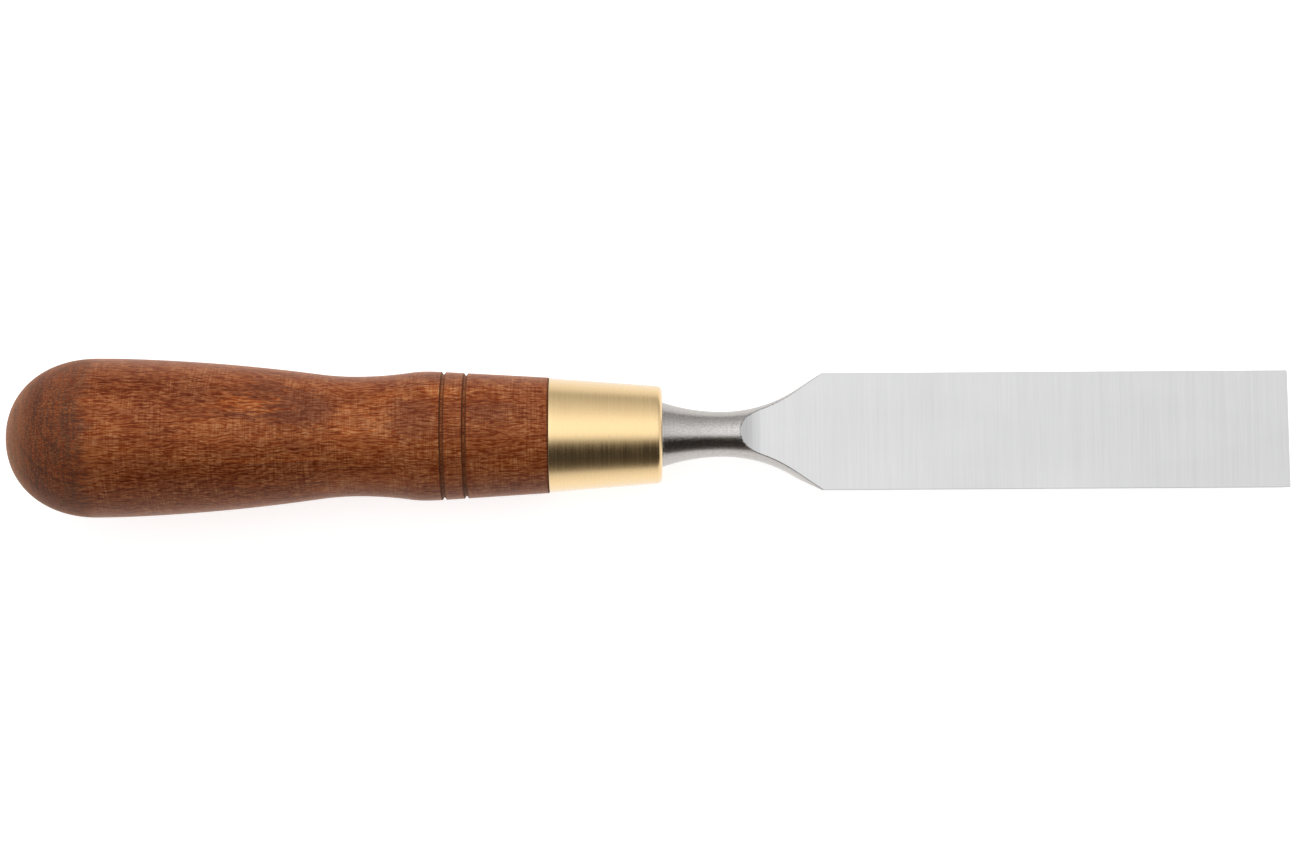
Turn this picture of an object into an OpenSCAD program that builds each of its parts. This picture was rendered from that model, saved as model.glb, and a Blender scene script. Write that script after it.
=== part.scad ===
// Bevel edge chisel: a forged blade with its neck and tang, a drawn ferrule and a turned handle.
// The origin is the middle of the cutting edge, on the flat back.
// +X points away from the handle, +Z points out of the flat back, and the tool axis lies below it.

/* [Blade] */
// Width of the blade
blade_w = 26; // [20:0.5:32]
// Cutting edge to the shoulder, where the flare reaches the full width
blade_len = 103.5; // [80:0.5:130]
// Thickness of the blade at the shoulder
shoulder_t = 6.4; // [5.4:0.1:7]
// Thickness of the blade where the cutting bevel starts
heel_t = 4.8; // [4:0.1:5.4]
// Height of the square land on each side
side_land = 0.6; // [0.4:0.1:1.5]
// Slope of the two side bevels, in degrees
side_bevel = 34; // [32:1:40]
// Angle of the cutting bevel, in degrees
edge_angle = 25; // [20:1:35]
// Height of the flat back over the tool axis
back_h = 3.7; // [3.2:0.1:4.4]
// How far the flat back is ground past the shoulder, into the neck
back_run = 12.5; // [11:0.5:16]
// Radius of the short curve that ends the flat back
back_runout_r = 8; // [4:0.5:12]
// Shoulder to the place where the front face and the side bevels start to run out
front_start = 2; // [0:0.5:6]
// Radius of the long curve that ends the front face
front_runout_r = 48; // [36:1:60]
// Radius of the curves that end the side bevels
bevel_runout_r = 20; // [14:1:40]

/* [Neck] */
// Smallest diameter of the neck
neck_d = 10; // [8.8:0.1:11]
// Shoulder of the blade to the face of the ferrule
neck_len = 34.5; // [30:0.5:45]
// Diameter of the bolster, where the steel sits on the ferrule
bolster_d = 14.4; // [13:0.1:18]
// Radius of the flare from the neck to the shoulder
flare_r = 30; // [20:1:38]
// Slope of the shoulder where the flare ends, in degrees
flare_angle = 33; // [28:0.5:36]

/* [Tang] */
// Length of the tang behind the bolster
tang_len = 62; // [40:1:90]
// Side of the square tang at the bolster
tang_root = 7.4; // [6:0.1:8]
// Side of the square tang at its end
tang_tip = 3.6; // [2:0.1:5]

/* [Ferrule] */
// Length of the ferrule
ferrule_len = 25; // [18:0.5:35]
// Diameter of the ferrule against the handle
ferrule_rear_d = 25.4; // [24.4:0.1:25.6]
// Diameter of the ferrule at its face, before the edge is rounded
ferrule_face_d = 21.5; // [20:0.1:24]
// Radius of the rounded edge round the face
ferrule_edge_r = 1.2; // [0.5:0.1:2]
// Thickness of the side wall
ferrule_wall = 1.2; // [0.8:0.1:2]
// Thickness of the end wall that the bolster sits on
ferrule_end_wall = 1.6; // [1:0.1:3]

/* [Handle] */
// Length of the wood from the ferrule to the butt
handle_len = 120; // [110:1:150]
// Diameter of the wood against the ferrule
joint_d = 25.6; // [25.4:0.1:28]
// Ferrule to the crest of the bead
bead_at = 27.2; // [26:0.1:36]
// Diameter of the bead at its crest
bead_d = 28.6; // [27:0.1:31]
// Half the length of the rounded crest of the bead
bead_round = 3.5; // [1:0.1:5]
// Ferrule to the waist
waist_at = 42.2; // [34:0.1:60]
// Diameter of the waist
waist_d = 26.5; // [24:0.1:28]
// Length of the hollow on the butt side of the waist
waist_run = 8.6; // [4:0.1:20]
// Diameter of the swell, where the handle is thickest
swell_d = 35.2; // [32:0.1:40]
// Length over which the swell rounds over before the dome
swell_round = 9; // [2:0.5:20]
// Taper left at the start of the swell, in mm of radius per mm of length
swell_taper = 0.042; // [0:0.002:0.08]
// Length of the domed butt
dome_len = 20.3; // [15:0.1:25]
// Squareness of the dome, where 2 is an ellipse
dome_power = 2.15; // [1.8:0.05:3]
// Ferrule to the nearer burnt groove
groove_at = 18.3; // [8:0.1:20]
// Distance between the two grooves
groove_pitch = 4.9; // [2:0.1:6]
// Width of a groove
groove_w = 1; // [0.4:0.1:2]
// Depth of a groove
groove_depth = 0.5; // [0.2:0.05:1]

/* [Fits] */
// Gap round the tang in its socket
tang_gap = 0.15; // [0.1:0.05:0.4]
// Gap left past the end of the tang
tang_end_gap = 2; // [0.5:0.5:5]
// Gap round the spigot in the ferrule
spigot_gap = 0.08; // [0.05:0.01:0.2]
// Gap between the end of the spigot and the end wall
spigot_end_gap = 0.3; // [0.2:0.1:0.8]
// Gap between the corners of the tang and the hole in the ferrule
hole_gap = 0.2; // [0.1:0.05:0.5]

/* [Hidden] */
$fn = 96;
steel = [0.72, 0.72, 0.73];
brass = [0.83, 0.68, 0.38];
wood = [0.50, 0.25, 0.16];

quarter_turn = 90;
// Straight steps in each arc, and the largest change of slope between steps of the turned outline
arc_steps = 16;
step_slope = 0.02;
// How far the forging reaches past the cutting edge before it is ground, and a cut past the surface
over = 5;

// Places along X
shoulder_x = -blade_len;
face_x = shoulder_x - neck_len;
joint_x = face_x - ferrule_len;

// The neck: an arc from the bolster to the thinnest place, an arc that flares, then a cone
half_w = blade_w / 2;
neck_r = neck_d / 2;
flare_arc_run = flare_r * sin(flare_angle);
flare_arc_rise = flare_r * (1 - cos(flare_angle));
flare_cone_run = (half_w - neck_r - flare_arc_rise) / tan(flare_angle);
neck_x = shoulder_x - flare_cone_run - flare_arc_run;
bolster_run = neck_x - face_x;
bolster_rise = bolster_d / 2 - neck_r;
bolster_arc_r = (bolster_run ^ 2 + bolster_rise ^ 2) / (2 * bolster_rise);
bolster_angle = asin(bolster_run / bolster_arc_r);
// The forging is round, and large enough to hold the corners of the blade
stock_r = norm([half_w, back_h]) + 1;
stock_x = shoulder_x + (stock_r - half_w) / tan(flare_angle);

// The front face leans, so that the blade thins from the shoulder to the heel of the cutting bevel
heel_x = -heel_t / tan(edge_angle);
front_lean = atan((shoulder_t - heel_t) / (heel_x - shoulder_x));
front_len = (heel_x - shoulder_x - front_start) / cos(front_lean);
// Turn of the run-out curves, far enough to leave the steel
back_runout_angle = 60;
front_runout_angle = 35;
bevel_runout_angle = 50;
cut_w = 2 * (stock_r + over);
cut_h = 2 * stock_r;

// The ferrule's outside, its bore and the spigot share one slope
ferrule_slope = (ferrule_rear_d - ferrule_face_d) / 2 / ferrule_len;
ferrule_lean = atan(ferrule_slope);
end_wall_x = face_x - ferrule_end_wall;
spigot_x = end_wall_x - spigot_end_gap;
hole_r = tang_root / sqrt(2) + hole_gap;
function ferrule_r(x) = ferrule_rear_d / 2 - ferrule_slope * (x - joint_x);
function bore_r(x) = ferrule_r(x) - ferrule_wall;
function spigot_r(x) = bore_r(x) - spigot_gap;

// The handle, measured from the ferrule towards the butt
joint_r = joint_d / 2;
bead_r = bead_d / 2;
waist_r = waist_d / 2;
swell_r = swell_d / 2;
swell_at = handle_len - dome_len;
belly_at = swell_at - swell_round;
belly_r = swell_r - swell_taper * swell_round / 2;
grip_at = waist_at + waist_run;
grip_run = belly_at - grip_at;
front_slope = (bead_r - joint_r) / (bead_at - bead_round / 2);
hollow_slope = 2 * (bead_r - waist_r) / (waist_at - bead_at);
grip_slope = (2 * (belly_r - waist_r) - swell_taper * grip_run) / (waist_run + grip_run);
// Stations of the turned outline: place, radius and slope
stations = [
  [0, joint_r, front_slope],
  [bead_at - bead_round, bead_r - front_slope * bead_round / 2, front_slope],
  [bead_at, bead_r, 0],
  [bead_at + bead_round, bead_r - hollow_slope * bead_round / 2, -hollow_slope],
  [waist_at, waist_r, 0],
  [grip_at, waist_r + grip_slope * waist_run / 2, grip_slope],
  [belly_at, belly_r, swell_taper],
  [swell_at, swell_r, 0],
];

// Point a share t of the way along the cubic curve that joins two stations and keeps their slopes
function curve_point(a, b, t) =
  let (run = b[0] - a[0])
  [
    a[0] + t * run,
    (1 - t) ^ 2 * ((1 + 2 * t) * a[1] + t * run * a[2])
      + t ^ 2 * ((3 - 2 * t) * b[1] - (1 - t) * run * b[2])
  ];

function curve_count(a, b) = max(1, ceil(abs(b[2] - a[2]) / step_slope));

// Outline of the wood from the ferrule to the start of the dome
turned_outline = [
  for (i = [0:len(stations) - 2])
    let (a = stations[i], b = stations[i + 1], n = curve_count(a, b))
    for (k = [0:n - 1])
      curve_point(a, b, k / n)
];

dome_outline = [
  for (k = [0:arc_steps])
    let (t = quarter_turn * k / arc_steps)
    [
      swell_at + dome_len * sin(t) ^ (2 / dome_power),
      k < arc_steps ? swell_r * cos(t) ^ (2 / dome_power) : 0
    ]
];

// Turns a half outline of [radius, place along X] about the tool axis
module turned(outline) {
  translate([0, 0, -back_h])
    rotate([0, 90, 0])
      rotate_extrude()
        polygon(outline);
}

// What a grinding pass takes off: all above z = 0 from x = 0 on, ended at x = 0 by a curve that rises
module ground_off(length, runout_r, runout_angle) {
  runout = [
    for (k = [0:arc_steps])
      let (t = runout_angle * k / arc_steps)
      [-runout_r * sin(t), runout_r * (1 - cos(t))]
  ];
  back = runout[arc_steps][0];
  top = runout[arc_steps][1] + cut_h;
  rotate([90, 0, 0])
    linear_extrude(cut_w, center = true)
      polygon(concat([[length, 0]], runout, [[back, top], [length, top]]));
}

// Round blank of the neck and blade, before grinding
module forging() {
  bolster = [
    for (k = [arc_steps:-1:1])
      let (t = bolster_angle * k / arc_steps)
      [neck_r + bolster_arc_r * (1 - cos(t)), neck_x - bolster_arc_r * sin(t)]
  ];
  flare = [
    for (k = [0:arc_steps])
      let (t = flare_angle * k / arc_steps)
      [neck_r + flare_r * (1 - cos(t)), neck_x + flare_r * sin(t)]
  ];
  turned(concat(
    [[0, face_x]], bolster, flare,
    [[stock_r, stock_x], [stock_r, over], [0, over]]
  ));
}

// Square taper along the tool axis, from x = front_x to the end of the tang
module tang_form(front_x, gap, end_gap) {
  end_x = face_x - tang_len - end_gap;
  slope = (tang_root - tang_tip) / 2 / tang_len;
  front_half = tang_root / 2 + gap + slope * (front_x - face_x);
  end_half = tang_root / 2 + gap + slope * (end_x - face_x);
  module wedge() {
    linear_extrude(2 * tang_root, center = true)
      polygon([
        [end_x, -end_half], [front_x, -front_half],
        [front_x, front_half], [end_x, end_half]
      ]);
  }
  translate([0, 0, -back_h])
    intersection() {
      wedge();
      rotate([90, 0, 0])
        wedge();
    }
}

module back_grind() {
  translate([shoulder_x - back_run, 0, 0])
    ground_off(blade_len + back_run + 2 * over, back_runout_r, back_runout_angle);
}

module side_grind() {
  for (side = [0, 1])
    mirror([0, side, 0])
      translate([face_x, half_w, -cut_h])
        cube([2 * over - face_x, cut_w, 2 * cut_h]);
}

// Front face, which leans down towards the heel
module front_grind() {
  translate([heel_x, 0, -heel_t])
    rotate([0, -front_lean, 0])
      translate([-front_len, 0, 0])
        mirror([0, 0, 1])
          ground_off(front_len - heel_x + 2 * over, front_runout_r, front_runout_angle);
}

// Side bevels, which leave a land of even height along the flat back
module bevel_grind() {
  for (side = [0, 1])
    mirror([0, side, 0])
      translate([shoulder_x + front_start, half_w, -side_land])
        rotate([side_bevel, 0, 0])
          mirror([0, 0, 1])
            ground_off(blade_len - front_start + 2 * over, bevel_runout_r, bevel_runout_angle);
}

module edge_grind() {
  rotate([0, -edge_angle, 0])
    translate([-cut_h, -cut_w / 2, -cut_h])
      cube([cut_h + 2 * over, cut_w, cut_h]);
}

// Forging ground flat on the back, to width at the sides and keen at the end
module ground_forging() {
  difference() {
    forging();
    back_grind();
    side_grind();
    edge_grind();
  }
}

// Blade, neck, bolster and tang, forged in one piece; the front face and the side bevels are ground last
module blade() {
  color(steel) {
    difference() {
      ground_forging();
      front_grind();
      bevel_grind();
    }
    tang_form(face_x + bolster_rise, 0, 0);
  }
}

// Drawn cup with a rounded face, a hole for the tang and a tapered bore
module ferrule() {
  edge_x = face_x - ferrule_edge_r;
  edge_r = ferrule_r(edge_x) - ferrule_edge_r / cos(ferrule_lean);
  edge = [
    for (k = [0:arc_steps])
      let (t = (quarter_turn - ferrule_lean) * k / arc_steps)
      [edge_r + ferrule_edge_r * sin(t), edge_x + ferrule_edge_r * cos(t)]
  ];
  color(brass)
    turned(concat(
      [[hole_r, face_x]], edge,
      [
        [ferrule_r(joint_x), joint_x], [bore_r(joint_x), joint_x],
        [bore_r(end_wall_x), end_wall_x], [hole_r, end_wall_x]
      ]
    ));
}

// V groove round the taper in front of the bead
module groove(at) {
  bottom_r = joint_r + front_slope * at - groove_depth;
  mouth_half = groove_w / 2 * (1 + over / groove_depth);
  turned([
    [bottom_r, joint_x - at],
    [bottom_r + groove_depth + over, joint_x - at - mouth_half],
    [bottom_r + groove_depth + over, joint_x - at + mouth_half]
  ]);
}

// Turned handle with the spigot that carries the ferrule and the socket that holds the tang
module handle() {
  spigot = [
    [0, spigot_x], [spigot_r(spigot_x), spigot_x], [spigot_r(joint_x), joint_x]
  ];
  grip = [
    for (p = concat(turned_outline, dome_outline))
      [p[1], joint_x - p[0]]
  ];
  color(wood)
    difference() {
      turned(concat(spigot, grip));
      tang_form(spigot_x + over, tang_gap, tang_end_gap);
      for (i = [0, 1])
        groove(groove_at + i * groove_pitch);
    }
}

blade();
ferrule();
handle();
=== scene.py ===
"""Looks of the bevel edge chisel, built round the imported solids.

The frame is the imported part's: the middle of the cutting edge at the origin, the handle towards -X
and the flat back facing +Z. Lengths are in mm until a mesh, a lamp or the camera is made.
"""
import math

import bmesh
import bpy
from mathutils import Matrix, Vector


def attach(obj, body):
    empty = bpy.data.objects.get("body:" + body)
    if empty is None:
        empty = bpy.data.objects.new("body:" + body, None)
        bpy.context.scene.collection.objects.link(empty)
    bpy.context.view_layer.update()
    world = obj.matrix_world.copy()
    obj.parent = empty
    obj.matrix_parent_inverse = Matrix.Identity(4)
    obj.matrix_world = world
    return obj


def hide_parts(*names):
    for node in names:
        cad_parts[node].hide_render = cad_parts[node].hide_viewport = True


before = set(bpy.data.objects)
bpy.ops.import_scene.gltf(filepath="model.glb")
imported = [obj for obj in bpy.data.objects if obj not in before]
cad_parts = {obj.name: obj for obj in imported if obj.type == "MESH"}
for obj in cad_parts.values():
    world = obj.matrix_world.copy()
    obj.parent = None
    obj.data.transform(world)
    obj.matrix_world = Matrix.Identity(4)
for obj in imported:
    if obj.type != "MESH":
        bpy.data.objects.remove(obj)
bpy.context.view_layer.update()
scene = bpy.context.scene
scene.view_settings.view_transform = "Standard"

MM = 0.001

# Blade, as in the part's source
BLADE_W = 26.0
BLADE_LEN = 103.5
SHOULDER_T = 6.4
HEEL_T = 4.8
SIDE_LAND = 0.6
SIDE_BEVEL = math.radians(34)
EDGE_ANGLE = math.radians(25)
BACK_H = 3.7
BACK_RUN = 12.5
BACK_RUNOUT_R = 8.0
FRONT_START = 2.0
FRONT_RUNOUT_R = 48.0
BEVEL_RUNOUT_R = 20.0
NECK_R = 5.0
NECK_LEN = 34.5
BOLSTER_R = 7.2
FLARE_R = 30.0
FLARE_ANGLE = math.radians(33)
TANG_LEN = 62.0
TANG_ROOT = 7.4
TANG_TIP = 3.6

# Ferrule
FERRULE_LEN = 25.0
FERRULE_REAR_R = 12.7
FERRULE_FACE_R = 10.75
FERRULE_EDGE_R = 1.2
FERRULE_WALL = 1.2
FERRULE_END_WALL = 1.6

# Handle
HANDLE_LEN = 120.0
JOINT_R = 12.8
BEAD_AT = 27.2
BEAD_R = 14.3
BEAD_ROUND = 3.5
WAIST_AT = 42.2
WAIST_R = 13.25
WAIST_RUN = 8.6
SWELL_R = 17.6
SWELL_ROUND = 9.0
SWELL_TAPER = 0.042
DOME_LEN = 20.3
DOME_POWER = 2.15
GROOVE_AT = 18.3
GROOVE_PITCH = 4.9
GROOVE_W = 1.0
GROOVE_DEPTH = 0.5

# Fits
TANG_GAP = 0.15
TANG_END_GAP = 2.0
SPIGOT_GAP = 0.08
SPIGOT_END_GAP = 0.3
HOLE_GAP = 0.2

# Places along X
SHOULDER_X = -BLADE_LEN
FACE_X = SHOULDER_X - NECK_LEN
JOINT_X = FACE_X - FERRULE_LEN
END_WALL_X = FACE_X - FERRULE_END_WALL
SPIGOT_X = END_WALL_X - SPIGOT_END_GAP
GROOVES = (GROOVE_AT, GROOVE_AT + GROOVE_PITCH)

# Fineness of the meshes: points of a ring, steps along a curve, and the angle that counts as an edge
SEGMENTS = 128
STOCK_SEGMENTS = 256
ARC_STEPS = 40
EDGE_STEPS = 20
ROUND_STEPS = 8
BOLSTER_STEPS = 6
TAPER_STEPS = 30
EASE_STEPS = 3
SHARP = math.radians(14)


# Node trees

class Graph:
    """Node tree of a material or a world, built from short calls that return sockets."""

    def __init__(self, owner):
        owner.use_nodes = True
        self.tree = owner.node_tree
        self.tree.nodes.clear()

    def add(self, kind, inputs=None, out=0, **settings):
        node = self.tree.nodes.new("ShaderNode" + kind)
        for name, value in settings.items():
            setattr(node, name, value)
        for key, value in (inputs or {}).items():
            self.put(node.inputs[key], value)
        return node.outputs[out]

    def put(self, socket, value):
        if isinstance(value, bpy.types.NodeSocket):
            self.tree.links.new(value, socket)
        else:
            socket.default_value = value

    def math(self, operation, a, b=0.0):
        return self.add("Math", {0: a, 1: b}, operation=operation)

    def total(self, start, *terms):
        """start plus each (weight, value) of terms."""
        result = start
        for weight, value in terms:
            node = {0: value, 1: weight, 2: result}
            result = self.add("Math", node, operation="MULTIPLY_ADD")
        return result

    def span(self, value, low, high, to_low=0.0, to_high=1.0):
        """Smooth step of value from low to high."""
        ends = {"Value": value, "From Min": low, "From Max": high, "To Min": to_low, "To Max": to_high}
        return self.add("MapRange", ends, interpolation_type="SMOOTHSTEP")

    def place(self):
        """Place on the object in mm, measured from the tool axis."""
        return self.add(
            "VectorMath",
            {0: self.add("TexCoord", out="Object"), 1: (1 / MM,) * 3, 2: (0, 0, BACK_H)},
            operation="MULTIPLY_ADD",
        )

    def noise(self, place, grain, shift=0.0, detail=2.0, roughness=0.5, out=0):
        """Cloudy value of 0 to 1 whose lumps are about grain mm long along X, Y and Z."""
        where = self.add(
            "VectorMath",
            {0: place, 1: tuple(1 / g for g in grain), 2: (shift, 1.7 * shift, 2.3 * shift)},
            operation="MULTIPLY_ADD",
        )
        return self.add(
            "TexNoise",
            {"Vector": where, "Scale": 1.0, "Detail": detail, "Roughness": roughness},
            out=out,
        )

    def ramp(self, value, stops):
        """Colour at value, from stops of (place, colour)."""
        node = self.tree.nodes.new("ShaderNodeValToRGB")
        elements = node.color_ramp.elements
        while len(elements) < len(stops):
            elements.new(1.0)
        for element, (at, colour) in zip(elements, stops):
            element.position = at
            element.color = (*colour, 1.0)
        self.put(node.inputs[0], value)
        return node.outputs[0]

    def tint(self, share, a, b, blend="MIX"):
        """Mix of two colours."""
        return self.add("Mix", {0: share, 6: a, 7: b}, out=2, data_type="RGBA", blend_type=blend)

    def bump(self, height, depth_mm):
        return self.add("Bump", {"Height": height, "Distance": depth_mm * MM})

    def show(self, shader, kind="Material"):
        """Makes a shader the surface of the material or world."""
        output = self.tree.nodes.new("ShaderNodeOutput" + kind)
        self.put(output.inputs["Surface"], shader)


# Metals: their colours, the depth of their marks in mm, and the clear coat over the brass
GROUND = (0.615, 0.615, 0.62)
FORGED = (0.555, 0.535, 0.52)
BRASS = (1.0, 0.72, 0.36)
GROUND_MARKS = 0.0015
FORGED_MARKS = 0.008
BRASS_MARKS = 0.0007
COAT_ROUGHNESS = 0.15
COAT_IOR = 1.6


def metal(name, colour, finish, coat=0.0):
    """Metal whose colour share, roughness and normal come from finish(graph, place)."""
    material = bpy.data.materials.new(name)
    graph = Graph(material)
    place = graph.place()
    share, roughness, normal = finish(graph, place)
    shade = graph.tint(1.0, (*colour, 1.0), share, "MULTIPLY")
    shader = graph.add(
        "BsdfPrincipled",
        {
            "Base Color": shade, "Metallic": 1.0, "Roughness": roughness, "Normal": normal,
            "Coat Weight": coat, "Coat Roughness": COAT_ROUGHNESS, "Coat IOR": COAT_IOR,
        },
    )
    graph.show(shader)
    return material


def ground_finish(graph, place):
    """Fine marks straight across the blade, left by the grinding wheel."""
    marks = graph.noise(place, (0.35, 22, 6), roughness=0.7)
    bands = graph.noise(place, (2.2, 40, 20), shift=3)
    slow = graph.noise(place, (24, 12, 12), shift=7)
    share = graph.total(0.83, (0.14, marks), (0.1, bands), (0.1, slow))
    roughness = graph.total(0.1, (0.12, marks), (0.06, bands))
    return share, roughness, graph.bump(marks, GROUND_MARKS)


def forged_finish(graph, place):
    """Satin round steel: faint marks round it and a slightly mottled sheen."""
    marks = graph.noise(place, (0.3, 5, 5), shift=11, detail=3, roughness=0.6)
    mottle = graph.span(graph.noise(place, (0.6, 0.34, 0.34), shift=5), 0.4, 0.62)
    share = graph.total(0.87, (0.14, marks), (0.13, mottle))
    roughness = graph.total(0.08, (0.1, marks), (0.1, mottle))
    height = graph.total(0.0, (0.5, marks), (0.3, mottle))
    return share, roughness, graph.bump(height, FORGED_MARKS)


def brass_finish(graph, place):
    """Fine marks round the ferrule, with a few small stains."""
    marks = graph.span(graph.noise(place, (0.34, 30, 30), shift=2), 0.36, 0.64)
    clouds = graph.noise(place, (3, 4, 4), shift=8, detail=3)
    specks = graph.span(graph.noise(place, (0.7, 0.6, 0.6), shift=4, detail=1), 0.68, 0.8)
    share = graph.total(0.94, (0.04, marks), (0.08, clouds), (-0.06, specks))
    roughness = graph.total(0.17, (0.07, marks), (0.08, clouds), (0.06, specks))
    return share, roughness, graph.bump(marks, BRASS_MARKS)


# Wood: the width of its growth rings and the place of their pith from the tool axis
WOOD_RING = 4.5
WOOD_PITH = (0.0, -22.8, -60.9)
# A ring that ends in a flame: the place of its tip along X, and how much the ring's distance from
# the pith grows for each mm towards the butt
WOOD_FLAME_X = -221.4
WOOD_LEAN = 0.089
# How far from the flame, along X, the rings begin to fade and have faded
FLAME_REACH = (7.0, 15.0)
# Mean of the noise that sways the rings, which is taken off again
RING_SWAY = 0.62
# Parts of a ring as shares of its width: the slow and the quick rise of its dark wood and of its
# line, the drop at its end, and the pale wood that follows
RING_DARK = ((0.62, 0.92), (0.87, 0.95))
RING_LINE = ((0.84, 0.96), (0.95, 0.965))
RING_DROP = (0.985, 1.0)
RING_PALE = (0.02, 0.24)
# Tones of the wood from its darkest to its lightest, and the colours that lie over it
WOOD_STOPS = (
    (0.0, (0.048, 0.015, 0.0075)),
    (0.25, (0.134, 0.038, 0.0135)),
    (0.5, (0.252, 0.073, 0.0225)),
    (0.75, (0.373, 0.119, 0.036)),
    (1.0, (0.492, 0.176, 0.057)),
)
# Colour of the dark stain, which also paints a sheen on the shoulder of the dome
DARK_STAIN_AND_SHEEN = (0.200, 0.068, 0.033, 1.0)
END_GRAIN = (0.071, 0.028, 0.017, 1.0)
END_SPECK = (0.330, 0.150, 0.070, 1.0)
# Colour of the char and painted shade on the groove walls, and of the dirt in the joint
CHAR_AND_SHADE = (0.040, 0.011, 0.003, 1.0)
# Gloss of the waxed wood, and the faint sheen along its rims
WOOD_GLOSS = 0.09
SHEEN_WEIGHT = 0.3
SHEEN_ROUGHNESS = 0.36
SHEEN_TINT = (1.0, 0.48, 0.24, 1.0)
# How far the fibres sway, and the depth of the grain, in mm
FIBRE_SWAY = 0.9
WOOD_MARKS = 0.02
# Place along X where the butt has been sanded across its fibres, which darkens it: where the change
# begins and ends, how far the fibres draw it out, and its share
SANDED = (-260.2, -264.4)
SANDED_REACH = 2.4
SANDED_SHARE = 0.85
# How far along X the fibres draw out the edges of the stain
STAIN_REACH = 8.0
# Lighter and darker patches of the figure, and the long dark patch at -236 along the swell's lower side,
# which is painted shade: place along X and across, half length, half width, tone
FIGURE_AND_SHADE_PATCHES = (
    (-205.8, 1.7, 6.0, 3.4, 0.26), (-187.5, 8.6, 4.0, 2.2, 0.16), (-195.0, 3.0, 7.0, 6.0, 0.09),
    (-203.5, -3.2, 9.0, 3.0, 0.08), (-247.0, 8.4, 20.0, 4.0, -0.09), (-258.0, -3.5, 9.0, 3.5, 0.06),
    (-232.0, -0.6, 12.0, 3.0, 0.17), (-215.0, -0.6, 6.0, 2.5, 0.08), (-236.0, -9.5, 36.0, 5.5, -0.11),
    (-204.0, -11.5, 11.0, 3.2, 0.16), (-275.2, 7.0, 3.0, 5.0, -0.12), (-167.5, 6.0, 5.0, 5.0, -0.06),
)
# Patches of purple stain, the last one, on the shoulder of the dome, a painted sheen: place along X and
# across, half length, half width, share of its colour
STAIN_AND_SHEEN_PATCHES = (
    (-216.5, 4.4, 7.0, 5.0, 0.6), (-224.0, 9.8, 4.0, 2.0, 0.6), (-176.0, 3.4, 5.0, 3.4, 0.45),
    (-192.5, 2.5, 5.0, 5.0, 0.5), (-265.5, 0.0, 4.0, 2.8, 0.55),
)
# How much the fibres fray a patch, and where its edge begins and ends, in half sizes
PATCH_FRAY = 0.7
PATCH_EDGE = (1.2, 1.44)
# Char and painted shade across a groove, from the side of the butt: start, end and share of a wall, the
# floor and the other wall, how far each fades in and out, and the share of char and shade in all
CHAR_AND_SHADE_BANDS = ((-0.6, -0.16, 1.0), (-0.3, 0.3, 0.3), (0.16, 0.6, 0.8))
CHAR_AND_SHADE_FADE_IN = 0.14
CHAR_AND_SHADE_FADE_OUT = 0.12
CHAR_AND_SHADE_SHARE = 0.8
# Dirt in the joint: where it begins and is full, along X from the ferrule
JOINT_DIRT = (-0.4, -0.1)


def handle_r(x):
    """Radius of the wood at a place along X, grooves left out."""
    u = JOINT_X - x
    if u <= SWELL_AT:
        return turned_r(max(u, 0))
    return SWELL_R * (1 - ((u - SWELL_AT) / DOME_LEN) ** DOME_POWER) ** (1 / DOME_POWER)


def ragged_patches(graph, place, ragged, patches):
    """Sum of patches, which end in ragged points along the fibres."""
    patch_sum = 0.0
    for x, y, half_length, half_width, tone in patches:
        centre = (x, y, math.sqrt(handle_r(x) ** 2 - y * y))
        scale = (1 / half_length, 1 / half_width, 1 / half_width)
        off = graph.add("VectorMath", {0: place, 1: centre}, operation="SUBTRACT")
        off = graph.add("VectorMath", {0: off, 1: scale}, operation="MULTIPLY")
        reach = graph.add("VectorMath", {0: off}, out="Value", operation="LENGTH")
        inside = graph.span(graph.total(reach, (PATCH_FRAY, ragged)), *PATCH_EDGE, 1.0, 0.0)
        patch_sum = graph.total(patch_sum, (tone, inside))
    return patch_sum


def growth_rings(graph, place, ragged):
    """Rings round a pith far below: dark late wood at a cut end, and a dark line and pale wood by it."""
    slow = graph.noise(place, (50, 14, 14), shift=1)
    across = graph.add("VectorMath", {0: place, 1: (0, 1, 1)}, operation="MULTIPLY")
    reach = graph.add("VectorMath", {0: across, 1: WOOD_PITH}, out="Value", operation="DISTANCE")
    crest = math.hypot(*WOOD_PITH) + handle_r(WOOD_FLAME_X)
    along = graph.add("SeparateXYZ", {0: place}, out=0)
    start = -crest - RING_SWAY - WOOD_LEAN * WOOD_FLAME_X
    grown = graph.total(start, (1.0, reach), (WOOD_LEAN, along), (1.0, slow), (0.25, ragged))
    ring = graph.math("FRACT", graph.math("DIVIDE", grown, WOOD_RING))
    ended = graph.span(ring, *RING_DROP)
    slow_rise, quick_rise = (graph.span(ring, *part) for part in RING_DARK)
    dark = graph.total(0.0, (0.3, slow_rise), (0.7, quick_rise))
    slow_rise, quick_rise = (graph.span(ring, *part) for part in RING_LINE)
    line = graph.total(0.0, (0.35, slow_rise), (0.65, quick_rise))
    pale = graph.math("SUBTRACT", graph.span(ring, *RING_PALE, 1.0, 0.0), graph.span(ring, 0.01, 0.0))
    away = graph.math("ABSOLUTE", graph.math("SUBTRACT", along, WOOD_FLAME_X))
    fade = graph.span(away, *FLAME_REACH, 1.0, 0.2)
    dark, line = (graph.math("SUBTRACT", value, ended) for value in (dark, line))
    return dark, graph.math("MULTIPLY", line, fade), graph.math("MULTIPLY", pale, fade)


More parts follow.
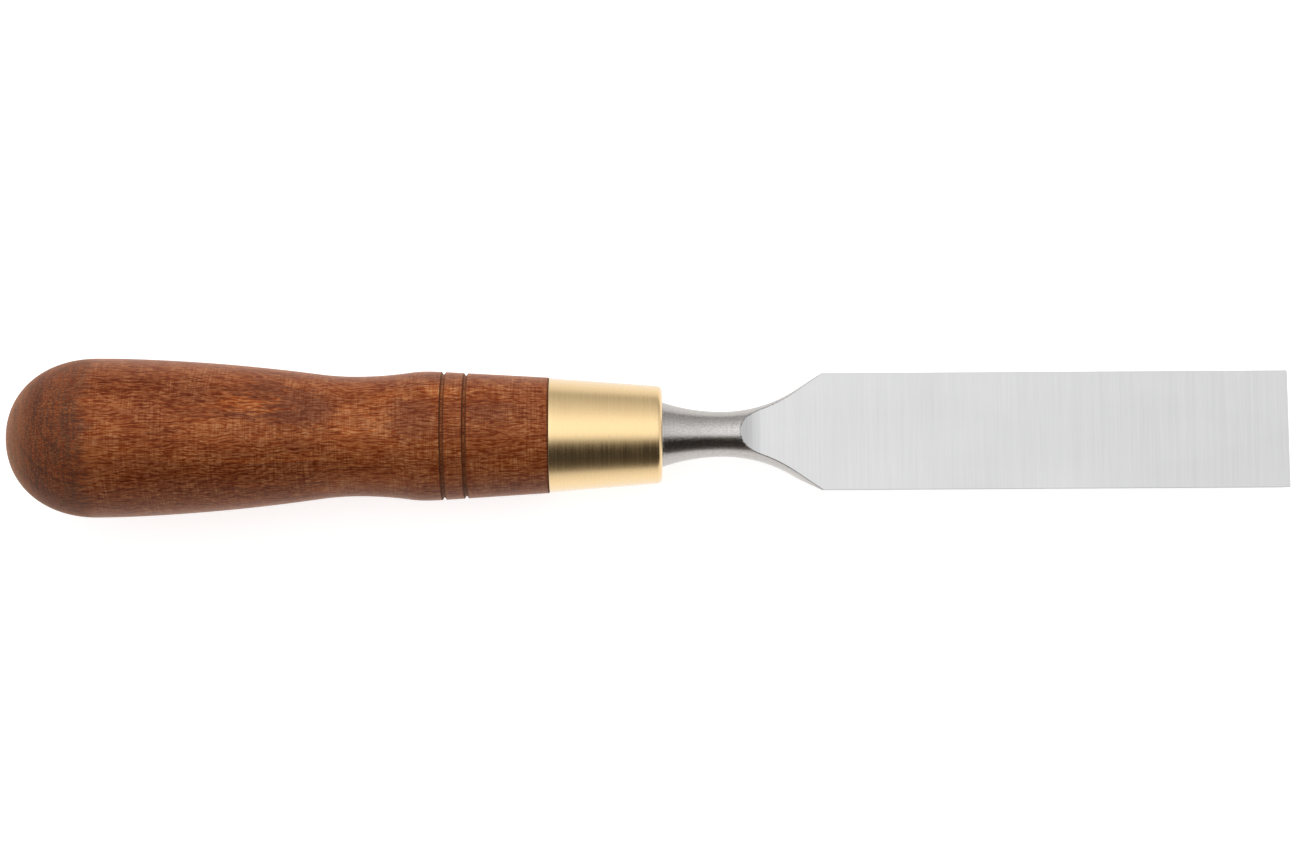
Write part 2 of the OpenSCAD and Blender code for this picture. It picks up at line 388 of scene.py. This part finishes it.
def char_and_groove_shade(graph, along):
    """Share of char and painted shade on the walls of the grooves, most on the butt side, and of dirt in
    the joint.
    """
    char_and_shade = graph.span(along, *(JOINT_X + off for off in JOINT_DIRT))
    for at in GROOVES:
        off = graph.math("SUBTRACT", along, JOINT_X - at)
        for start, end, share in CHAR_AND_SHADE_BANDS:
            band = graph.math(
                "MULTIPLY", graph.span(off, start, start + CHAR_AND_SHADE_FADE_IN, 0.0, share),
                graph.span(off, end - CHAR_AND_SHADE_FADE_OUT, end, 1.0, 0.0),
            )
            char_and_shade = graph.math("MAXIMUM", char_and_shade, band)
    return graph.math("MULTIPLY", char_and_shade, CHAR_AND_SHADE_SHARE)


def stained_wood():
    """Stained hardwood with its fibres along X, turned to shape and waxed."""
    material = bpy.data.materials.new("stained_wood")
    graph = Graph(material)
    place = graph.place()
    along = graph.add("SeparateXYZ", {0: place}, out=0)
    facing = graph.add("NewGeometry", out="Normal")
    ends = graph.math("ABSOLUTE", graph.add("SeparateXYZ", {0: facing}, out=0))
    shaded_sides = graph.math("ABSOLUTE", graph.add("SeparateXYZ", {0: facing}, out=1))
    # Fibres that sway as they run along the handle, and dots where they are cut across
    sway = graph.noise(place, (5, 3, 3), shift=13, detail=1, out="Color")
    bend = {0: sway, 1: (0, FIBRE_SWAY, FIBRE_SWAY), 2: place}
    swayed = graph.add("VectorMath", bend, operation="MULTIPLY_ADD")
    fibre = graph.span(graph.noise(swayed, (4.5, 0.5, 0.5), shift=6), 0.36, 0.64)
    fine = graph.span(graph.noise(swayed, (1.2, 0.3, 0.3), shift=2, detail=1), 0.4, 0.6)
    dots = graph.span(graph.noise(place, (0.42, 0.36, 0.36), shift=3), 0.4, 0.6)
    dash = graph.span(graph.noise(swayed, (3.2, 0.3, 0.3), shift=5, detail=1), 0.46, 0.6)
    ragged = graph.span(graph.noise(swayed, (7, 0.6, 0.6), shift=9), 0.3, 0.7)
    # Tone of the stain, and marks of the lathe that show in places
    drawn = graph.add("CombineXYZ", {0: ragged})
    drawn = {0: drawn, 1: (STAIN_REACH, 0, 0), 2: place}
    drawn = graph.add("VectorMath", drawn, operation="MULTIPLY_ADD")
    tone = graph.noise(drawn, (22, 6, 6), shift=4)
    rings, line, pale = growth_rings(graph, place, ragged)
    lathe = graph.span(graph.noise(place, (0.34, 6, 6), shift=12, detail=1), 0.4, 0.6)
    worn = graph.span(graph.noise(place, (9, 6, 6), shift=14), 0.32, 0.58)
    hatch = graph.math("MULTIPLY", lathe, worn)
    # Patches of the figure, and painted shade along the lower side of the swell
    patch_sum = ragged_patches(graph, place, ragged, FIGURE_AND_SHADE_PATCHES)
    value = graph.total(0.38, (1.0, patch_sum), (0.3, tone), (0.08, fibre), (-0.14, line), (0.16, pale))
    colour = graph.ramp(value, WOOD_STOPS)
    # Purple stain, and a painted sheen on the shoulder of the dome
    stain_and_sheen = graph.span(graph.noise(drawn, (14, 4, 4), shift=15), 0.45, 0.68, 0.0, 0.25)
    stain_and_sheen = graph.total(stain_and_sheen, (1.0, ragged_patches(graph, place, ragged, STAIN_AND_SHEEN_PATCHES)), (0.6, line))
    colour = graph.tint(stain_and_sheen, colour, DARK_STAIN_AND_SHEEN)
    # A gamma over 1 darkens and warms the wood, as its own pores do
    grain = graph.total(0.0, (0.44, dash), (-0.25, fine), (-0.2, hatch))
    depth = graph.total(1.17, (graph.total(1.0, (-0.4, stain_and_sheen)), grain))
    colour = graph.add("Gamma", {"Color": colour, "Gamma": depth})
    # Painted shade, darker and speckled, on the sides that face ±Y; and the ends, where the fibres are
    # cut across
    painted_rim_dots = graph.tint(graph.math("MULTIPLY", dots, 0.9), END_GRAIN, colour)
    colour = graph.tint(graph.span(shaded_sides, 0.6, 0.95, 0.0, 0.35), colour, painted_rim_dots)
    ringed = graph.total(1.57, (-0.5, rings), (-0.78, dots), (-0.74, lathe), (-0.48, fine))
    cut = graph.tint(ringed, END_GRAIN, graph.tint(0.3, colour, DARK_STAIN_AND_SHEEN))
    sanded = graph.span(graph.total(along, (SANDED_REACH, ragged)), *SANDED, 0.0, SANDED_SHARE)
    across = graph.total(sanded, (0.12, graph.span(ends, 0.2, 0.5)))
    colour = graph.tint(across, colour, cut)
    speck = graph.total(0.12, (0.5, graph.span(dots, 0.5, 1.0)))
    rim = graph.math("MULTIPLY", graph.span(ends, 0.5, 0.8), speck)
    colour = graph.tint(rim, colour, END_SPECK)
    # Char on the groove walls with painted shade in them, and dirt in the joint
    char_and_shade = char_and_groove_shade(graph, along)
    colour = graph.tint(char_and_shade, colour, CHAR_AND_SHADE)
    roughness = graph.total(0.29, (0.06, fibre), (0.06, fine), (0.4, char_and_shade), (0.2, sanded))
    height = graph.total(0.0, (-0.6, dash), (0.3, fibre), (0.2, fine), (0.3, hatch))
    shader = graph.add(
        "BsdfPrincipled",
        {
            "Base Color": colour, "Roughness": roughness, "Specular IOR Level": WOOD_GLOSS,
            "Sheen Weight": SHEEN_WEIGHT, "Sheen Roughness": SHEEN_ROUGHNESS, "Sheen Tint": SHEEN_TINT,
            "Normal": graph.bump(height, WOOD_MARKS),
        },
    )
    graph.show(shader)
    return material


# Meshes

def circle(x, radius, segments=SEGMENTS):
    """Points of a circle round the tool axis."""
    turn = [2 * math.pi * i / segments for i in range(segments)]
    return [(x, radius * math.cos(a), radius * math.sin(a) - BACK_H) for a in turn]


def square(x, half):
    """Points of a square round the tool axis, as many as in a circle."""
    points = []
    for i in range(SEGMENTS):
        a = 2 * math.pi * i / SEGMENTS
        reach = half / max(abs(math.cos(a)), abs(math.sin(a)))
        points.append((x, reach * math.cos(a), reach * math.sin(a) - BACK_H))
    return points


def pole(x):
    return [(x, 0.0, -BACK_H)]


def arc(radius, start, end, steps):
    """Offsets from the centre along an arc, by its angle."""
    turn = [start + (end - start) * k / steps for k in range(steps + 1)]
    return [(radius * math.cos(a), radius * math.sin(a)) for a in turn]


def finish_mesh(name, form, material):
    """Object made of a bmesh, still in mm."""
    bmesh.ops.recalc_face_normals(form, faces=form.faces)
    mesh = bpy.data.meshes.new(name)
    form.to_mesh(mesh)
    form.free()
    mesh.materials.append(material)
    piece = bpy.data.objects.new(name, mesh)
    scene.collection.objects.link(piece)
    return piece


def settle(piece):
    """Brings a finished mesh from mm to metres, smooth except at its edges."""
    piece.data.transform(Matrix.Scale(MM, 4))
    piece.data.shade_smooth()
    piece.data.set_sharp_from_angle(angle=SHARP)
    return piece


def skin(name, rings, material, closed=False):
    """Surface through a row of rings, where a ring of one point is a pole."""
    form = bmesh.new()
    loops = [[form.verts.new(p) for p in points] for points in rings]
    pairs = list(zip(loops, loops[1:]))
    if closed:
        pairs.append((loops[-1], loops[0]))
    for a, b in pairs:
        count = max(len(a), len(b))
        for i in range(count):
            j = (i + 1) % count
            corners = (a[i % len(a)], a[j % len(a)], b[j % len(b)], b[i % len(b)])
            form.faces.new(list(dict.fromkeys(corners)))
    return finish_mesh(name, form, material)


def prism(name, outline, half, matrix, material):
    """Outline in X and Z, drawn out to both sides along Y, then moved by matrix."""
    form = bmesh.new()
    shaded_sides = [[form.verts.new((x, y, z)) for x, z in outline] for y in (-half, half)]
    form.faces.new(shaded_sides[0])
    form.faces.new(shaded_sides[1])
    for i in range(len(outline)):
        j = (i + 1) % len(outline)
        form.faces.new((shaded_sides[0][i], shaded_sides[0][j], shaded_sides[1][j], shaded_sides[1][i]))
    bmesh.ops.transform(form, matrix=matrix, verts=form.verts)
    return finish_mesh(name, form, material)


def combine(piece, others, operation):
    """Cuts the others out of the piece, or joins them to it, for good."""
    for other in others:
        change = piece.modifiers.new(other.name, "BOOLEAN")
        change.operation = operation
        change.solver = "MANIFOLD"
        change.material_mode = "TRANSFER"
        change.object = other
    graph = bpy.context.evaluated_depsgraph_get()
    mesh = bpy.data.meshes.new_from_object(piece.evaluated_get(graph))
    piece.modifiers.clear()
    piece.data = mesh
    for other in others:
        bpy.data.objects.remove(other)


# Blade

HALF_W = BLADE_W / 2
NECK_X = (
    SHOULDER_X - FLARE_R * math.sin(FLARE_ANGLE)
    - (HALF_W - NECK_R - FLARE_R * (1 - math.cos(FLARE_ANGLE))) / math.tan(FLARE_ANGLE)
)
BOLSTER_RUN = NECK_X - FACE_X
BOLSTER_RISE = BOLSTER_R - NECK_R
BOLSTER_ARC_R = (BOLSTER_RUN ** 2 + BOLSTER_RISE ** 2) / (2 * BOLSTER_RISE)
BOLSTER_ANGLE = math.asin(BOLSTER_RUN / BOLSTER_ARC_R)
STOCK_R = math.hypot(HALF_W, BACK_H) + 1
STOCK_X = SHOULDER_X + (STOCK_R - HALF_W) / math.tan(FLARE_ANGLE)
HEEL_X = -HEEL_T / math.tan(EDGE_ANGLE)
FRONT_LEAN = math.atan((SHOULDER_T - HEEL_T) / (HEEL_X - SHOULDER_X))
FRONT_LEN = (HEEL_X - SHOULDER_X - FRONT_START) / math.cos(FRONT_LEAN)
# How far each run-out turns up before it leaves the steel
BACK_RUNOUT = math.radians(60)
FRONT_RUNOUT = math.radians(35)
BEVEL_RUNOUT = math.radians(50)
# How far the stock and the cuts reach past the blade
OVER = 5.0
BOLSTER_ROUND = 0.2
EDGE_ROUND = 0.16
# Share of that round on the blade's straight edges, which are ground crisper than the shoulder
CRISP = 0.4
# Edges that turn more than this are eased, and the cutting edge lies this near to x = 0 and z = 0
EASED = math.radians(28)
KEEN = 0.01
# Edges shorter than this are dissolved, so that no slivers are left
SLIVER = 0.002


def ground_off(length, runout_r, runout_angle):
    """Outline of a grinding pass: all above z = 0 from x = 0 on, ended by a curve that rises."""
    runout = [
        (-runout_r * math.sin(t), runout_r * (1 - math.cos(t)))
        for t in (runout_angle * k / ARC_STEPS for k in range(ARC_STEPS + 1))
    ]
    top = runout[-1][1] + 2 * STOCK_R
    return [(length, 0.0), *runout, (runout[-1][0], top), (length, top)]


def tang_half(x, gap=0.0):
    """Half the side of the tang, or of its socket, at a place along X."""
    return TANG_ROOT / 2 + gap + (TANG_ROOT - TANG_TIP) / 2 / TANG_LEN * (x - FACE_X)


def ease_edges(blade):
    """Rounds every edge of the steel a little, apart from the cutting edge, which stays keen."""
    form = bmesh.new()
    form.from_mesh(blade.data)
    bmesh.ops.dissolve_degenerate(form, dist=SLIVER, edges=form.edges)
    weight = form.edges.layers.float.new("bevel_weight_edge")
    for edge in form.edges:
        keen = all(abs(v.co.x) < KEEN and abs(v.co.z) < KEEN for v in edge.verts)
        if edge.is_manifold and not keen and edge.calc_face_angle() > EASED:
            edge[weight] = CRISP if max(v.co.x for v in edge.verts) > SHOULDER_X else 1.0
    form.to_mesh(blade.data)
    form.free()
    settle(blade)
    ease = blade.modifiers.new("ease_edges", "BEVEL")
    ease.width = EDGE_ROUND * MM
    ease.segments = EASE_STEPS
    ease.limit_method = "WEIGHT"
    ease.use_clamp_overlap = False
    ease.harden_normals = True
    even = blade.modifiers.new("even_normals", "WEIGHTED_NORMAL")
    even.keep_sharp = True


def make_blade(ground, forged):
    rings = [pole(FACE_X)]
    for c, s in arc(BOLSTER_ROUND, math.pi, math.pi / 2 + BOLSTER_ANGLE, BOLSTER_STEPS):
        rings.append((FACE_X + BOLSTER_ROUND + c, BOLSTER_R - BOLSTER_ROUND + s))
    bolster = [BOLSTER_ANGLE * (1 - k / ARC_STEPS) for k in range(1, ARC_STEPS)]
    rings += [
        (NECK_X - BOLSTER_ARC_R * math.sin(t), NECK_R + BOLSTER_ARC_R * (1 - math.cos(t)))
        for t in bolster
    ]
    flare = [FLARE_ANGLE * k / (2 * ARC_STEPS) for k in range(2 * ARC_STEPS + 1)]
    rings += [
        (NECK_X + FLARE_R * math.sin(t), NECK_R + FLARE_R * (1 - math.cos(t))) for t in flare
    ]
    rings += [(STOCK_X, STOCK_R), (OVER, STOCK_R)]
    rings = [r if isinstance(r, list) else circle(*r, STOCK_SEGMENTS) for r in rings]
    blade = skin("steel_blade", rings + [pole(OVER)], forged)

    wide = STOCK_R + OVER
    back = prism(
        "cut_back", ground_off(BLADE_LEN + BACK_RUN + 2 * OVER, BACK_RUNOUT_R, BACK_RUNOUT),
        wide, Matrix.Translation((SHOULDER_X - BACK_RUN, 0, 0)), ground,
    )
    face = ground_off(FRONT_LEN - HEEL_X + 2 * OVER, FRONT_RUNOUT_R, FRONT_RUNOUT)
    under = Matrix.Diagonal((1, 1, -1, 1))
    leaning = Matrix.Translation((HEEL_X, 0, -HEEL_T)) @ Matrix.Rotation(-FRONT_LEAN, 4, "Y")
    leaning = leaning @ Matrix.Translation((-FRONT_LEN, 0, 0)) @ under
    cuts = [back, prism("cut_front", face, wide, leaning, ground)]
    bevel = ground_off(BLADE_LEN - FRONT_START + 2 * OVER, BEVEL_RUNOUT_R, BEVEL_RUNOUT)
    for side in (1, -1):
        turned = Matrix.Translation((SHOULDER_X + FRONT_START, side * HALF_W, -SIDE_LAND))
        turned = turned @ Matrix.Rotation(side * SIDE_BEVEL, 4, "X") @ under
        cuts.append(prism("cut_bevel", bevel, wide, turned, ground))
        box = [(FACE_X, -wide), (2 * OVER, -wide), (2 * OVER, wide), (FACE_X, wide)]
        off = Matrix.Translation((0, side * (HALF_W + wide), 0))
        cuts.append(prism("cut_side", box, wide, off, ground))
    deep = 2 * STOCK_R
    edge = [(-deep, -deep), (2 * OVER, -deep), (2 * OVER, 0), (-deep, 0)]
    cuts.append(prism("cut_edge", edge, wide, Matrix.Rotation(-EDGE_ANGLE, 4, "Y"), ground))
    combine(blade, cuts, "DIFFERENCE")

    front_x, end_x = FACE_X + BOLSTER_RISE, FACE_X - TANG_LEN
    tang = [pole(end_x), square(end_x, tang_half(end_x)), square(front_x, tang_half(front_x))]
    combine(blade, [skin("tang", tang + [pole(front_x)], forged)], "UNION")
    ease_edges(blade)
    return blade


# Ferrule

FERRULE_SLOPE = (FERRULE_REAR_R - FERRULE_FACE_R) / FERRULE_LEN
FERRULE_REAR_ROUND = 0.25


def ferrule_r(x):
    return FERRULE_REAR_R - FERRULE_SLOPE * (x - JOINT_X)


def bore_r(x):
    return ferrule_r(x) - FERRULE_WALL


def make_ferrule(material):
    lean = math.atan(FERRULE_SLOPE)
    hole_r = TANG_ROOT / math.sqrt(2) + HOLE_GAP
    edge_x = FACE_X - FERRULE_EDGE_R
    edge_r = ferrule_r(edge_x) - FERRULE_EDGE_R / math.cos(lean)
    outline = [(FACE_X, hole_r)]
    edge = arc(FERRULE_EDGE_R, 0, math.pi / 2 - lean, EDGE_STEPS)
    outline += [(edge_x + c, edge_r + s) for c, s in edge]
    rear_x = JOINT_X + FERRULE_REAR_ROUND
    taper = [edge_x + (rear_x - edge_x) * k / TAPER_STEPS for k in range(1, TAPER_STEPS)]
    outline += [(x, ferrule_r(x)) for x in taper]
    rear_r = ferrule_r(rear_x) - FERRULE_REAR_ROUND
    rear = arc(FERRULE_REAR_ROUND, math.pi / 2, math.pi, ROUND_STEPS)
    outline += [(rear_x + c, rear_r + s) for c, s in rear]
    outline += [
        (JOINT_X, bore_r(JOINT_X)), (END_WALL_X, bore_r(END_WALL_X)), (END_WALL_X, hole_r)
    ]
    return settle(skin("brass_ferrule", [circle(*p) for p in outline], material, closed=True))


# Handle

SWELL_AT = HANDLE_LEN - DOME_LEN
BELLY_AT = SWELL_AT - SWELL_ROUND
BELLY_R = SWELL_R - SWELL_TAPER * SWELL_ROUND / 2
GRIP_AT = WAIST_AT + WAIST_RUN
GRIP_RUN = BELLY_AT - GRIP_AT
FRONT_SLOPE = (BEAD_R - JOINT_R) / (BEAD_AT - BEAD_ROUND / 2)
HOLLOW_SLOPE = 2 * (BEAD_R - WAIST_R) / (WAIST_AT - BEAD_AT)
GRIP_SLOPE = (2 * (BELLY_R - WAIST_R) - SWELL_TAPER * GRIP_RUN) / (WAIST_RUN + GRIP_RUN)
# Place from the ferrule, radius and slope
STATIONS = (
    (0, JOINT_R, FRONT_SLOPE),
    (BEAD_AT - BEAD_ROUND, BEAD_R - FRONT_SLOPE * BEAD_ROUND / 2, FRONT_SLOPE),
    (BEAD_AT, BEAD_R, 0),
    (BEAD_AT + BEAD_ROUND, BEAD_R - HOLLOW_SLOPE * BEAD_ROUND / 2, -HOLLOW_SLOPE),
    (WAIST_AT, WAIST_R, 0),
    (GRIP_AT, WAIST_R + GRIP_SLOPE * WAIST_RUN / 2, GRIP_SLOPE),
    (BELLY_AT, BELLY_R, SWELL_TAPER),
    (SWELL_AT, SWELL_R, 0),
)
JOINT_ROUND = 0.25
# Share of a groove's width that is its flat bottom
GROOVE_FLAT = 0.3
# Distance between the rings of the mesh, along the wood and in its grooves
STEP = 0.5
FINE_STEP = 0.05


def turned_r(u):
    """Radius of the wood at a place from the ferrule, before the grooves are cut."""
    for (u0, r0, s0), (u1, r1, s1) in zip(STATIONS, STATIONS[1:]):
        if u <= u1:
            break
    run = u1 - u0
    t = (u - u0) / run
    return (
        (1 - t) ** 2 * ((1 + 2 * t) * r0 + t * run * s0)
        + t ** 2 * ((3 - 2 * t) * r1 - (1 - t) * run * s1)
    )


def groove_cut(u):
    """Depth of the groove at a place from the ferrule: a flat bottom and two leaning walls."""
    off = min(abs(u - at) for at in GROOVES) / (GROOVE_W / 2)
    t = min(max((1 - off) / (1 - GROOVE_FLAT), 0), 1)
    return GROOVE_DEPTH * t * t * (3 - 2 * t)


def handle_outline():
    """Places from the ferrule and radii of the bare wood, from the joint to the butt."""
    outline = []
    u = JOINT_ROUND
    while u < SWELL_AT:
        outline.append((u, turned_r(u) - groove_cut(u)))
        near = min(abs(u - at) for at in GROOVES) < GROOVE_W
        u += FINE_STEP if near else STEP
        if not near and min(abs(u - at) for at in GROOVES) < GROOVE_W / 2:
            u -= STEP - FINE_STEP
    steps = 2 * ARC_STEPS
    for k in range(steps):
        t = math.pi / 2 * k / steps
        outline.append((
            SWELL_AT + DOME_LEN * math.sin(t) ** (2 / DOME_POWER),
            SWELL_R * math.cos(t) ** (2 / DOME_POWER),
        ))
    return outline


def make_handle(material):
    socket_x = FACE_X - TANG_LEN - TANG_END_GAP
    spigot_r = [bore_r(x) - SPIGOT_GAP for x in (SPIGOT_X, JOINT_X)]
    rings = [
        pole(socket_x),
        square(socket_x, tang_half(socket_x, TANG_GAP)),
        square(SPIGOT_X, tang_half(SPIGOT_X, TANG_GAP)),
        circle(SPIGOT_X, spigot_r[0]),
        circle(JOINT_X, spigot_r[1]),
    ]
    rim = turned_r(JOINT_ROUND) - JOINT_ROUND
    for c, s in arc(JOINT_ROUND, 0, math.pi / 2, ROUND_STEPS)[:-1]:
        rings.append(circle(JOINT_X - JOINT_ROUND + c, rim + s))
    rings += [circle(JOINT_X - u, r) for u, r in handle_outline()]
    rings.append(pole(JOINT_X - HANDLE_LEN))
    return settle(skin("turned_handle", rings, material))


# Pieces

blade = make_blade(
    metal("ground_steel", GROUND, ground_finish), metal("forged_steel", FORGED, forged_finish)
)
ferrule = make_ferrule(metal("satin_brass", BRASS, brass_finish, coat=1.0))
handle = make_handle(stained_wood())
for piece, node, slot in (
    (blade, "blade", "blade_steel"),
    (ferrule, "ferrule", "ferrule_brass"),
    (handle, "handle", "handle_wood"),
):
    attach(piece, "root")
    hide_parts(node)


# Floor, light and camera

FLOOR_SIDE = 8000
FLOOR_GAP = 0.02
FLOOR_COLOUR = 0.55
# Light of the floor itself, as the camera sees it and as it falls on the tool
FLOOR_GLOW = 0.8
FLOOR_BOUNCE = 1.0
# Floor as the metal mirrors it: its tint, and its level by the distance from the tool axis in mm
FLOOR_TINT = (1.0, 0.98, 0.96)
FLOOR_MIRRORED = ((0, 1.0), (30, 1.0), (70, 0.87), (160, 0.73), (400, 0.60))


def make_floor():
    """Pale floor that the handle's swell and the heel of the cutting bevel rest on."""
    heel = Vector((HEEL_X, -HEEL_T))
    lean = max(
        math.atan2(heel.y + BACK_H + r, heel.x - JOINT_X + u) for u, r in handle_outline()
    )
    half = FLOOR_SIDE / 2
    form = bmesh.new()
    corners = ((-half, -half), (half, -half), (half, half), (-half, half))
    form.faces.new([form.verts.new((x, y, 0)) for x, y in corners])
    bmesh.ops.transform(
        form,
        matrix=Matrix.Translation((heel.x, 0, heel.y - FLOOR_GAP)) @ Matrix.Rotation(-lean, 4, "Y"),
        verts=form.verts,
    )
    material = bpy.data.materials.new("pale_floor")
    graph = Graph(material)
    diffuse = graph.add("BsdfDiffuse", {"Color": (FLOOR_COLOUR,) * 3 + (1,)})
    path = graph.tree.nodes.new("ShaderNodeLightPath")
    seen = graph.total(
        0.0, (FLOOR_GLOW, path.outputs["Is Camera Ray"]), (FLOOR_BOUNCE, path.outputs["Is Diffuse Ray"])
    )
    lit = graph.add("AddShader", {0: diffuse, 1: graph.add("Emission", {"Strength": seen})})
    glossy, through = path.outputs["Is Glossy Ray"], path.outputs["Is Transmission Ray"]
    mirrored = graph.math("MAXIMUM", glossy, through)
    away = graph.math("ABSOLUTE", graph.add("SeparateXYZ", {0: graph.place()}, out=1))
    reach = FLOOR_MIRRORED[-1][0]
    stops = [(d / reach, [v * t for t in FLOOR_TINT]) for d, v in FLOOR_MIRRORED]
    faded = graph.ramp(graph.math("DIVIDE", away, reach), stops)
    shown = graph.add("MixShader", {0: mirrored, 1: lit, 2: graph.add("Emission", {"Color": faded})})
    graph.show(shown)
    return settle(finish_mesh("floor", form, material))


# Light of the room by its angle from straight up, in degrees, positive towards +Y: level and warmth
ROOM = (
    (-180, 0.60, 0.1), (-92, 0.45, 0.1), (-84, 0.24, 0.15), (-74, 0.09, 0.25), (-62, 0.05, 0.25),
    (-38, 0.04, 0.25), (-27, 0.16, 0.2), (-20, 0.48, 0.05), (-12, 1.00, 0.0), (-4, 1.22, 0.0),
    (12, 1.22, 0.0), (20, 1.20, 0.0), (30, 1.06, 0.0), (44, 0.86, 0.02), (56, 0.72, 0.04),
    (68, 0.60, 0.04), (80, 0.50, 0.06), (92, 0.50, 0.06), (180, 0.60, 0.1),
)
# Share of the panel's light by the sine of the angle towards +X
PANEL = (
    (-1.0, 0.62), (-0.62, 0.62), (-0.45, 1.15), (-0.3, 1.15), (-0.18, 1.0), (0.07, 1.0),
    (0.185, 0.88), (0.36, 0.85), (0.5, 0.83), (0.6, 0.72), (1.0, 0.70),
)
# Level of the two ends of the room, and the sine of the angle towards X where they begin and are full
ROOM_ENDS = 0.82
ENDS_FROM = (0.68, 0.85)
# Level that white stands for in the two ramps, which hold no more than 1
RAMP_TOP = 2.0


def make_room():
    """Studio light: one long soft panel overhead, a dark side towards -Y, white for the camera."""
    world = bpy.data.worlds.new("studio")
    scene.world = world
    graph = Graph(world)
    toward = graph.tree.nodes.new("ShaderNodeSeparateXYZ")
    graph.put(toward.inputs[0], graph.add("TexCoord", out="Generated"))
    sideways = toward.outputs["X"]
    tilt = graph.math("ARCTAN2", toward.outputs["Y"], toward.outputs["Z"])
    level = graph.ramp(
        graph.total(0.5, (1 / (2 * math.pi), tilt)),
        [(a / 360 + 0.5, [v / RAMP_TOP * t for t in (1, 1 - w / 2, 1 - w)]) for a, v, w in ROOM],
    )
    panel = graph.ramp(
        graph.total(0.5, (0.5, sideways)), [(x / 2 + 0.5, (v / RAMP_TOP,) * 3) for x, v in PANEL]
    )
    level = graph.tint(1.0, level, panel, "MULTIPLY")
    ends = graph.span(graph.math("ABSOLUTE", sideways), *ENDS_FROM)
    level = graph.tint(ends, level, (ROOM_ENDS / RAMP_TOP ** 2,) * 3 + (1.0,))
    room = graph.add("Background", {"Color": level, "Strength": RAMP_TOP ** 2})
    white = graph.add("Background", {"Color": (1, 1, 1, 1), "Strength": 1.0})
    path = graph.tree.nodes.new("ShaderNodeLightPath")
    shown = graph.add("MixShader", {0: path.outputs["Is Camera Ray"], 1: room, 2: white})
    graph.show(shown, "World")


# Lamp, in metres and watts
LAMP_SIZE = (1.6, 0.9)
LAMP_AT = (-0.14, 0.85, 1.05)
LAMP_AIM = (-0.14, 0, 0)
LAMP_POWER = 9.0


def make_lamp():
    """Soft lamp in line with the panel, for the wood and the floor alone."""
    data = bpy.data.lights.new("soft_lamp", "AREA")
    data.shape = "RECTANGLE"
    data.size, data.size_y = LAMP_SIZE
    data.energy = LAMP_POWER
    lamp = bpy.data.objects.new("soft_lamp", data)
    lamp.location = LAMP_AT
    lamp.rotation_euler = (Vector(LAMP_AIM) - lamp.location).to_track_quat("-Z", "Y").to_euler()
    lamp.visible_glossy = False
    scene.collection.objects.link(lamp)


VIEW_CENTRE = (-140.27, -0.36, 0)
VIEW_DISTANCE = 750.0
VIEW_TILT = math.radians(8)
VIEW_ROLL = math.radians(-0.35)
VIEW_LENS = 94.0
VIEW_SENSOR = 36.0
# Nearest that the camera sees, in metres
VIEW_NEAR = 0.01


def make_camera():
    """Camera straight over the flat back, leaning a little towards -Y, as the photograph was taken."""
    data = bpy.data.cameras.new("camera")
    data.sensor_width = VIEW_SENSOR
    data.lens = VIEW_LENS
    data.clip_start = VIEW_NEAR
    camera = bpy.data.objects.new("camera", data)
    turn = Matrix.Rotation(VIEW_TILT, 4, "X") @ Matrix.Rotation(VIEW_ROLL, 4, "Z")
    back = turn @ Vector((0, 0, VIEW_DISTANCE))
    camera.matrix_world = Matrix.Translation((Vector(VIEW_CENTRE) + back) * MM) @ turn
    scene.collection.objects.link(camera)
    scene.camera = camera


make_floor()
make_room()
make_lamp()
make_camera()
